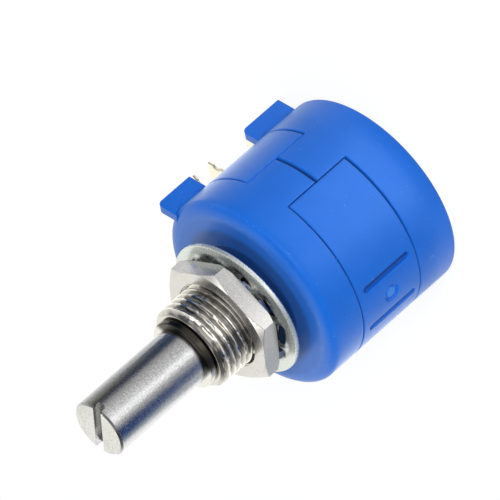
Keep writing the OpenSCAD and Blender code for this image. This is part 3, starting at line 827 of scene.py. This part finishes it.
class Nodes:
    """A node tree that is filled by method calls."""

    def __init__(self, tree):
        self.tree = tree

    def node(self, kind, settings=None, inputs=None, output=0):
        """Adds a node: settings first (stops are a ramp's), then socket values or links."""
        found = self.tree.nodes.new(kind)
        for label, value in (settings or {}).items():
            if label == "stops":
                ramp = found.color_ramp
                while len(ramp.elements) < len(value):
                    ramp.elements.new(0.5)
                for element, (place, colour) in zip(ramp.elements, value):
                    element.position, element.color = place, (*colour, 1)
            else:
                setattr(found, label, value)
        for label, value in (inputs or {}).items():
            self.wire(value, found.inputs[label])
        return Socket(self, found.outputs[output])

    def wire(self, value, target):
        if isinstance(value, Socket):
            self.tree.links.new(value.socket, target)
        else:
            target.default_value = value

    def split(self, vector):
        """The x, y and z of a vector."""
        first = self.node("ShaderNodeSeparateXYZ", None, {"Vector": vector})
        return [Socket(self, output) for output in first.socket.node.outputs]

    def band(self, value, low, high):
        """0 below low and 1 above high, smooth between."""
        inputs = {"Value": value, "From Min": low, "From Max": high}
        return self.node("ShaderNodeMapRange", {"interpolation_type": "SMOOTHSTEP"}, inputs)

    def between(self, value, low, low_to, high_from, high):
        """0 outside low and high, and 1 from low_to to high_from."""
        return self.band(value, low, low_to) * (1 - self.band(value, high_from, high))

    def mix(self, share, first, second):
        """A colour between two others."""
        whole = lambda colour: (*colour, 1) if isinstance(colour, tuple) else colour
        inputs = {0: share, 6: whole(first), 7: whole(second)}
        return self.node("ShaderNodeMix", {"data_type": "RGBA"}, inputs, output=2)


class Paint(Nodes):
    """One node material. Constants are set on the shader's own sockets."""

    def __init__(self, name, **constants):
        self.data = bpy.data.materials.new(name)
        self.data.use_nodes = True
        super().__init__(self.data.node_tree)
        self.shader = self.tree.nodes["Principled BSDF"]
        for label, value in constants.items():
            self.shader.inputs[label.replace("_", " ")].default_value = value

    def place(self, scale=(1, 1, 1)):
        """Object coordinates in millimetres, stretched along the axes."""
        inputs = {"Vector": self.node("ShaderNodeTexCoord", output="Object"), "Scale": dim(scale, 1 / MM)}
        return self.node("ShaderNodeMapping", None, inputs)

    def radius(self):
        """Distance from the shaft's axis in millimetres."""
        x, y, _ = self.split(self.place())
        square = x * x + y * y
        return square.maths("SQRT", square)

    def height(self):
        """Height above the rear face in millimetres."""
        return self.split(self.place())[2]

    def distance(self, point):
        """Distance from a point in millimetres."""
        ends = {0: self.place(), 1: tuple(point)}
        return self.node("ShaderNodeVectorMath", {"operation": "DISTANCE"}, ends, output=1)

    def noise(self, scale, detail=2.0, rough=0.5, stretch=(1, 1, 1)):
        """Noise from 0 to 1, about 0.5, with this many features to the millimetre."""
        inputs = {"Vector": self.place(stretch), "Scale": scale, "Detail": detail, "Roughness": rough}
        return self.node("ShaderNodeTexNoise", {"noise_dimensions": "3D"}, inputs)

    def layers(self, colour, *coats):
        """A colour under coats of (how much of it shows, its colour), the last one on top."""
        for share, coat in coats:
            colour = self.mix(share, colour, coat)
        return colour

    def finish(self, colour, roughness, height, depth_mm, strength):
        """Links the varying channels and gives back the material. The height of 0 to 1 stands for
        depth_mm."""
        inputs = {"Height": height, "Distance": depth_mm * MM, "Strength": strength}
        normal = self.node("ShaderNodeBump", None, inputs)
        for label, value in {"Base Color": colour, "Roughness": roughness, "Normal": normal}.items():
            self.wire(value, self.shader.inputs[label])
        return self.data

    def glow(self, colour, strength):
        """Light given off, and not shaded by any lamp."""
        return self.node("ShaderNodeEmission", None, {"Color": colour, "Strength": strength})

    def surface(self, shader):
        """Takes another shader as the surface."""
        self.wire(shader, self.tree.nodes["Material Output"].inputs["Surface"])


print("a socket's operators add nodes of type ShaderNodeMath")


# %% [markdown]
# ## Blue moulded plastic
# Satin royal blue with the fine grain of a spark-eroded mould, slightly uneven in colour, with a few
# pale specks and short scratches from handling, a painted highlight on the line where the face turns into
# the rim, painted shade on the boss under the washer and a painted shadow round the washer. Grain is a
# bump from fine noise, and scratches are the thin ridges where a stretched noise crosses its middle value.
# The slots and seams get painted shade, as light gets lost in them, and the gate mark a painted highlight.

# %% Case plastic
def case_plastic():
    paint = Paint("case_plastic", Metallic=0.0, IOR=1.5, Specular_IOR_Level=0.5,
                  Specular_Tint=(0.75, 0.97, 1, 1), Sheen_Weight=0.12, Sheen_Tint=(0.5, 0.85, 1, 1))
    patches = paint.noise(0.35, 3, 0.55)
    mottle = paint.noise(3.0, 3, 0.6)
    grain = paint.noise(14.0, 2, 0.5)
    specks = paint.band(paint.noise(3.6, 1, 0.4), 0.765, 0.785)
    strands = paint.noise(0.9, 2, 0.5, (3.2, 0.8, 0.35))
    scratch = 1 - paint.band(strands.maths("ABSOLUTE", strands - 0.5), 0.0, 0.003)
    scratch = scratch * paint.band(paint.noise(0.5, 1, 0.5), 0.62, 0.70)
    shade = (patches - 0.5) * 0.5 + (mottle - 0.5) * 0.35 + 0.5
    up, spread = paint.height(), paint.radius()
    # Painted shade on the boss under the washer: its side and top are darkened nearly to black.
    boss_shade = paint.band(up, face_z - 0.01, face_z + 0.07) * (0.9 + mottle * 0.2)
    # Painted shadow of the washer on the front face, darkest at the washer's edge and fading outwards.
    washer_shadow = 1 - paint.band(spread, washer_r - 0.3, washer_r + 0.6)
    washer_shadow = washer_shadow * paint.band(up, face_z - 0.06, face_z - 0.03)
    from_gate = paint.distance((-case_r, 0, mark_z))
    # Painted shade in the slots and seams on the sides, left out inside the gate mark.
    recess_shade = 1 - paint.band(spread, case_r - 0.5, case_r - 0.05)
    on_side = paint.between(up, 1.2, 1.6, 15.9, 16.3)
    recess_shade = recess_shade * (on_side * paint.band(from_gate, gate_r - 0.05, gate_r + 0.2))
    # Painted highlight along the line where the face turns into the rim, broken up by noise.
    rim_at = case_r - rim_run
    rim_line = paint.between(spread, rim_at - 0.3, rim_at, rim_at + 0.15, rim_at + 0.55)
    rim_highlight = rim_line * paint.band(up, face_z - 0.2, face_z - 0.08)
    rim_highlight = rim_highlight * paint.band(paint.noise(2.0, 2, 0.5), 0.2, 0.9)
    colour = paint.layers(
        paint.mix(shade.clipped(), (0.001, 0.107, 0.54), (0.006, 0.146, 0.70)),
        ((specks * 0.35 + scratch * 0.25).clipped(), (0.24, 0.40, 0.76)),
        (boss_shade.clipped(), (0.001, 0.006, 0.025)),
        (washer_shadow * 0.55, (0.001, 0.03, 0.16)),
        (recess_shade * 0.75, (0.001, 0.03, 0.20)),
        # Painted highlight on the gate mark.
        ((1 - paint.band(from_gate, gate_r / 2, gate_r)) * 0.35, (0.06, 0.30, 0.80)),
        (rim_highlight * 0.3, (0.10, 0.27, 0.76)),
    )
    rough = 0.37 + (mottle - 0.5) * 0.10 + specks * 0.1
    return paint.finish(colour, rough, grain * 0.7 + mottle * 0.3 + scratch * -0.4, 0.010, 0.8)


plastic = case_plastic()
print("case plastic has", len(plastic.node_tree.nodes), "nodes")


# %% [markdown]
# ## Plated metals
# Nickel is slightly warm, zinc slightly green, and both are mirror-like with a soft haze that changes
# from spot to spot. The thread's grooves get painted shade and its crests a painted highlight, and the
# washer's teeth get painted shade. The shaft is plain steel, and its turning marks run round it, so its
# noise is squeezed along the axis.

# %% Metals
def plated(name, light, dark, rough, stain=0.25, metallic=1.0, grooves=None, teeth_to=None):
    paint = Paint(name, Metallic=metallic)
    cloud = paint.noise(0.9, 4, 0.6)
    fine = paint.noise(9.0, 3, 0.6)
    spots = paint.band(paint.noise(3.2, 2, 0.5), 0.62, 0.72)
    coats = [(spots * stain, dim(dark, 0.45))]
    if teeth_to:
        # Painted shade on the washer's teeth inside teeth_to, in patches.
        teeth_shade = (1 - paint.band(paint.radius(), teeth_to - 0.3, teeth_to)) * paint.band(cloud, 0.36, 0.56)
        coats.append((teeth_shade * 0.85, dim(dark, 0.12)))
    if grooves:
        # Painted shade in the thread's grooves and a painted highlight on its crests.
        from_axis = paint.radius()
        behind_end = 1 - paint.band(paint.height(), bush_end - 0.7, bush_end - 0.3)
        recess_shade = (1 - paint.band(from_axis, *grooves)) * behind_end
        crest_highlight = paint.band(from_axis, grooves[1], bush_r - 0.04)
        coats += [(recess_shade * 0.5, dim(dark, 0.4)), (crest_highlight, (0.95, 0.93, 0.89))]
    colour = paint.layers(paint.mix((cloud * 0.6 + fine * 0.4).clipped(), dark, light), *coats)
    roughness = rough + (fine - 0.5) * 0.14 + spots * 0.12
    return paint.finish(colour, roughness, fine * 0.6 + cloud * 0.4, 0.006, 0.7)


def turned_steel(name, light, dark, rough):
    paint = Paint(name, Metallic=1.0)
    marks = paint.noise(1.0, 3, 0.65, (0.35, 0.35, 26))
    broken = paint.noise(1.0, 2, 0.7, (4.5, 4.5, 7))
    cloud = paint.noise(0.6, 3, 0.6)
    streak = (marks * 0.35 + broken * 0.65).clipped()
    colour = paint.mix(paint.band(streak, 0.36, 0.64), dark, light)
    roughness = rough + (broken - 0.5) * 0.20 + (cloud - 0.5) * 0.08
    return paint.finish(colour, roughness, streak, 0.018, 0.9)


def ring_with_dark_side(name, dark_at=-108, reach=3.6):
    """Bright steel with one stretch painted dark, a painted dark reflection and shade on that side. How far
    a point lies towards the direction dark_at, as a share of reach, picks that stretch."""
    paint = Paint(name, Metallic=1.0)
    x, y, _ = paint.split(paint.place())
    turn = math.radians(dark_at)
    along = (x * math.cos(turn) + y * math.sin(turn)) / reach
    fine = paint.noise(9.0, 3, 0.6)
    # Painted dark reflection and shade: the stretch towards dark_at is dark, the rest bright.
    bright = 1 - paint.band(along + (fine - 0.5) * 0.3, 0.2, 0.5)
    colour = paint.mix(bright, (0.07, 0.065, 0.055), (0.72, 0.71, 0.68))
    return paint.finish(colour, 0.12 + fine * 0.1, fine, 0.004, 0.6)


bushing_metal = plated("bushing_nickel", (0.76, 0.74, 0.69), (0.52, 0.50, 0.46), 0.09, grooves=(4.36, 4.66))
nut_metal = plated("nut_nickel", (0.70, 0.69, 0.67), (0.58, 0.57, 0.55), 0.20, 0.15, metallic=0.86)
washer_metal = plated(
    "washer_steel", (0.76, 0.80, 0.77), (0.64, 0.68, 0.65), 0.26, 0.2, metallic=0.7, teeth_to=6.75)
ring_metal = ring_with_dark_side("ring_steel")
lug_metal = plated("terminal_gold", (0.92, 0.88, 0.75), (0.80, 0.75, 0.58), 0.30, 0.2)
shaft_metal = turned_steel("shaft_steel", (0.70, 0.70, 0.70), (0.52, 0.52, 0.52), 0.14)
metals = (bushing_metal, nut_metal, washer_metal, ring_metal, lug_metal, shaft_metal)
print("metals:", [metal.name for metal in metals])


# %% [markdown]
# ## Inner pieces
# They are hidden in the closed case, but they are part of the model, so they get true finishes too:
# ivory moulding, a white sliding carriage, bright contact alloy, a wound element and a film washer.

# %% Inner finishes
def moulded(name, light, dark, rough):
    paint = Paint(name, Metallic=0.0)
    cloud = paint.noise(0.8, 3, 0.6)
    grain = paint.noise(12.0, 2, 0.5)
    colour = paint.mix(cloud, dark, light)
    return paint.finish(colour, rough + (grain - 0.5) * 0.1, grain, 0.008, 0.6)


def wound_wire(name):
    """Fine resistance wire wound round a mandrel shows as close bands across it."""
    paint = Paint(name, Metallic=1.0)
    inputs = {"Vector": paint.place(), "Scale": 6.0}
    across = paint.node("ShaderNodeTexWave", {"bands_direction": "DIAGONAL"}, inputs)
    colour = paint.mix(across, (0.42, 0.28, 0.18), (0.74, 0.56, 0.42))
    return paint.finish(colour, 0.35 + (across - 0.5) * 0.1, across, 0.03, 0.8)


contact_metal = plated("contact_alloy", (0.90, 0.72, 0.38), (0.74, 0.55, 0.24), 0.22)
finishes = {
    "rotor": moulded("rotor_plastic", (0.86, 0.83, 0.74), (0.78, 0.74, 0.64), 0.5),
    "wiper_carriage": moulded("carriage_plastic", (0.93, 0.93, 0.91), (0.84, 0.84, 0.82), 0.45),
    "thrust_washer": moulded("shim_plastic", (0.82, 0.74, 0.52), (0.70, 0.61, 0.40), 0.4),
    "resistance_coil": wound_wire("coil_wire"),
} | dict.fromkeys(("collector_rail", "slip_ring", "slip_ring_brush", "wiper_contact", "front_coil_lead",
                   "rear_coil_lead"), contact_metal)
for node, material in finishes.items():
    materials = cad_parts[node].data.materials
    materials.clear()
    materials.append(material)
print("inner pieces finished:", sorted(finishes))

# %% Outer finishes
for material, *names in (
    (plastic, "front_cap", "rear_cap", "housing_band"), (bushing_metal, "threaded_bushing"),
    (nut_metal, "panel_nut"), (washer_metal, "toothed_washer"), (ring_metal, "snap_ring"),
    (shaft_metal, "slotted_shaft"), (lug_metal, "front_lug", "middle_lug", "rear_lug"),
):
    for name in names:
        pieces[name].data.materials.append(material)
print("outer pieces finished:", len(pieces))


# %% [markdown]
# ## Floor and backdrop
# The part stands on a plain white floor. Product pictures have a pure white ground, so the floor glows a
# little for the camera, and for mirrors, and keeps a faint soft shadow from its diffuse share. The
# light on the part stays at a plain level.

# %% Floor
def stage_mesh(name, points_mm, quads, material):
    """A card or floor from its corners. It is part of the stage, not of the part."""
    mesh = bpy.data.meshes.new(name)
    mesh.from_pydata((np.array(points_mm) * MM).tolist(), [], np.array(quads).tolist())
    mesh.materials.append(material)
    found = add_object(name, mesh)
    return found


def path_share(nodes, *kinds):
    """1 for rays of the named kinds, such as Is Camera Ray, and 0 for all others."""
    rays = [nodes.node("ShaderNodeLightPath", output=kind) for kind in kinds]
    return sum(rays[1:], rays[0]).clipped()


paint = Paint("floor_white", Base_Color=(0.35, 0.35, 0.35, 1), Roughness=1.0, Specular_IOR_Level=0.0)
seen = path_share(paint, "Is Camera Ray", "Is Glossy Ray", "Is Transmission Ray")
glow = paint.glow((1, 1, 1, 1), seen * 0.76)
paint.surface(paint.node("ShaderNodeAddShader", None, {0: Socket(paint, paint.shader.outputs[0]), 1: glow}))
wide = 3000
floor_corners = [(-wide, -wide, 0), (wide, -wide, 0), (wide, wide, 0), (-wide, wide, 0)]
stage_mesh("floor", floor_corners, [(0, 1, 2, 3)], paint.data)
print("floor at z = 0")


# %% [markdown]
# ## Light
# Metal shows what is round it, so the surroundings matter more than the lamps. Diffuse surfaces get a
# soft pale tent, brighter overhead. Mirrors see a room with two white walls and dark gaps between them:
# brightness by compass direction goes through ramps, one for the walls and three for the near, middle
# and far part of a ring of cards lying on the bench, which polished rounds mirror from below. That gives
# turned steel its bright and dark bands, as in any studio that photographs metal.

# %% Brightness by compass direction
def direction(azimuth, elevation):
    """A unit vector from an azimuth and an elevation in degrees."""
    a, e = math.radians(azimuth), math.radians(elevation)
    return Vector((math.cos(e) * math.cos(a), math.cos(e) * math.sin(a), math.sin(e)))


RAMP_SHARE = 0.5


def compass(nodes, vector, stops):
    """A ramp over the angle of x and y round Z. Stops are (degrees, colour or grey), from -180 to 180.
    The ramp holds RAMP_SHARE of each, and the shader that shows it makes up for that."""
    x, y, _ = nodes.split(vector)
    turn = y.maths("ARCTAN2", y, x) * (0.5 / math.pi) + 0.5
    grey = lambda value: value if isinstance(value, tuple) else (value, value, value)
    ramp = [((a + 180) / 360, dim(grey(value), RAMP_SHARE)) for a, value in stops]
    return nodes.node("ShaderNodeValToRGB", {"stops": ramp}, {"Fac": turn})


wall_stops = [
    (-180, 0.15), (-156, 0.80), (-127, 0.95), (-99, 0.80), (-67, 0.30), (-49, (0.06, 0.08, 0.12)),
    (-30, 0.15), (0, 0.60), (30, (1.15, 1.15, 1.08)), (75, (1.25, 1.24, 1.16)), (90, 0.9), (111, 0.20),
    (143, 0.05), (180, 0.10),
]
world = bpy.data.worlds.new("tent")
world.use_nodes = True
bpy.context.scene.world = world
world.node_tree.nodes.clear()
sky = Nodes(world.node_tree)
way = sky.node("ShaderNodeTexCoord", output="Generated")
height = sky.split(way)[2]
overhead = sky.mix(sky.band(height, 0.85, 0.97), compass(sky, way, wall_stops), (1.25, 1.23, 1.18))
patch_at, patch_edges = direction(-127, 74), (math.cos(math.radians(half)) for half in (29, 20))
ends = {0: way, 1: tuple(patch_at)}
towards = sky.node("ShaderNodeVectorMath", {"operation": "DOT_PRODUCT"}, ends, output=1)
dark_patch = sky.band(towards, *patch_edges)
walls = sky.mix(dark_patch, overhead, (0.12, 0.12, 0.13))
cloth = sky.mix(sky.band(height, 0.3, 0.7), (0.22, 0.23, 0.24), (0.34, 0.36, 0.38))
tent, room, white = (
    sky.node("ShaderNodeBackground", None, {"Color": colour, "Strength": strength})
    for colour, strength in ((cloth, 1.0), (walls, 1 / RAMP_SHARE), ((1, 1, 1, 1), 1.0))
)
mirrored = sky.node("ShaderNodeMixShader", None, {0: path_share(sky, "Is Glossy Ray"), 1: tent, 2: room})
seen = path_share(sky, "Is Camera Ray", "Is Transmission Ray")
result = sky.node("ShaderNodeMixShader", None, {0: seen, 1: mirrored, 2: white})
sky.wire(result, sky.tree.nodes.new("ShaderNodeOutputWorld").inputs["Surface"])
print("world nodes:", len(sky.tree.nodes))

# %% Cards on the bench
near_stops = [
    (-180, 0.3), (-158, 1.8), (-143, 3.8), (-103, 3.4), (-80, 1.2), (-53, 0.5), (-13, 1.3), (23, 3.2),
    (60, 4.4), (97, 2.2), (137, 0.7), (180, 0.3),
]
middle_stops = [
    (-180, (0.36, 0.38, 0.45)), (-168, 0.55), (-156, 0.65), (-144, 1.30), (-132, 1.40),
    (-122, (0.50, 0.51, 0.53)), (-98, 0.60), (-86, 0.55), (-73, 0.42), (-60, (0.08, 0.11, 0.18)),
    (-46, (0.02, 0.05, 0.11)), (-30, (0.04, 0.08, 0.18)), (-14, (0.02, 0.06, 0.16)),
    (-11.5, (0.15, 0.20, 0.30)), (-9, 0.9), (-6.5, 1.5), (-3.5, 0.6), (3, 0.95), (9, 0.7), (25, 1.2),
    (99, 1.2), (117, (0.36, 0.41, 0.48)), (136, 0.70), (152, (0.32, 0.35, 0.42)),
    (167, (0.20, 0.24, 0.35)), (180, (0.36, 0.38, 0.45)),
]
far_stops = [
    (-180, (0.02, 0.05, 0.15)), (-168, (0.28, 0.29, 0.36)), (-156, 0.65), (-144, 1.25), (-132, 1.50),
    (-121, 1.25), (-109, 0.92), (-86, 0.57), (-73, 0.42), (-60, (0.10, 0.10, 0.13)),
    (-46, (0.06, 0.06, 0.06)), (-30, (0.28, 0.27, 0.22)), (-10, 0.43), (7, 0.75), (25, 1.0), (99, 1.30),
    (117, 1.2), (136, (0.34, 0.40, 0.48)), (152, (0.03, 0.08, 0.24)), (167, (0.01, 0.05, 0.22)),
    (180, (0.02, 0.05, 0.15)),
]
card = Paint("bench_cards")
spot = card.place()
near, middle, far = (compass(card, spot, stops) for stops in (near_stops, middle_stops, far_stops))
reach = card.radius()
tone = card.layers(near, (card.band(reach, 37, 43), middle), (card.band(reach, 62, 76), far))
card.surface(card.glow(tone, 1 / RAMP_SHARE))
card_inner, card_outer, card_lift = 14, 260, 0.4
points = turned(np.array([[card_outer], [card_inner]]), np.full((2, 1), card_lift), np.arange(0, 360, 5))
ring_quads = grid_quads(*points.shape[:2], False, True).reshape(-1, 4)
cards = stage_mesh("bench_cards", points.reshape(-1, 3), ring_quads, card.data)
cards.visible_camera = cards.visible_diffuse = cards.visible_shadow = cards.visible_transmission = False
print("cards are seen by reflections only")


# %% Lamps
def soft_box(name, azimuth, elevation, distance_mm, size_mm, watts):
    """A square area lamp that faces the middle of the part and doesn't show in mirrors."""
    lamp = bpy.data.lights.new(name, "AREA")
    lamp.energy, lamp.size = watts, size_mm * MM
    found = add_object(name, lamp)
    towards = direction(azimuth, elevation)
    found.location = aim + towards * distance_mm * MM
    found.rotation_euler = towards.to_track_quat("Z", "Y").to_euler()
    found.visible_glossy = False
    return found


aim = Vector((2.727, -2.139, 14.832)) * MM
lamps = [soft_box("key", -122, 24, 500, 250, 2.1), soft_box("fill", 130, 10, 500, 300, 1.5),
         soft_box("side", -30, 10, 500, 300, 0.7), soft_box("top", 55, 50, 500, 300, 0.15)]
print("lamps:", [lamp.name for lamp in lamps])


# %% [markdown]
# ## Camera
# A long lens from far off, as a bench photographer would use for a part this small. It is rolled, so the
# shaft points down and to the left in the picture.

# %% Camera
camera_azimuth, camera_elevation, camera_roll = -126.72, 26.546, 131.175
lens_mm, distance_mm = 540.045, 742.85
camera = bpy.data.cameras.new("camera")
camera.lens, camera.sensor_width = lens_mm, 36.0
camera.clip_start, camera.clip_end = 0.01, 20.0
forward = -direction(camera_azimuth, camera_elevation)
level_right = forward.cross(Vector((0, 0, 1))).normalized()
level_up = level_right.cross(forward)
roll = math.radians(camera_roll)
up = level_up * math.cos(roll) + level_right * math.sin(roll)
right = forward.cross(up)
place = Matrix((right, up, -forward)).transposed().to_4x4()
place.translation = aim - forward * distance_mm * MM
viewer = add_object("camera", camera)
viewer.matrix_world = place
bpy.context.scene.camera = viewer
bpy.context.scene.view_settings.view_transform = "Standard"
print("camera at", [round(v / MM, 1) for v in place.translation], "mm")
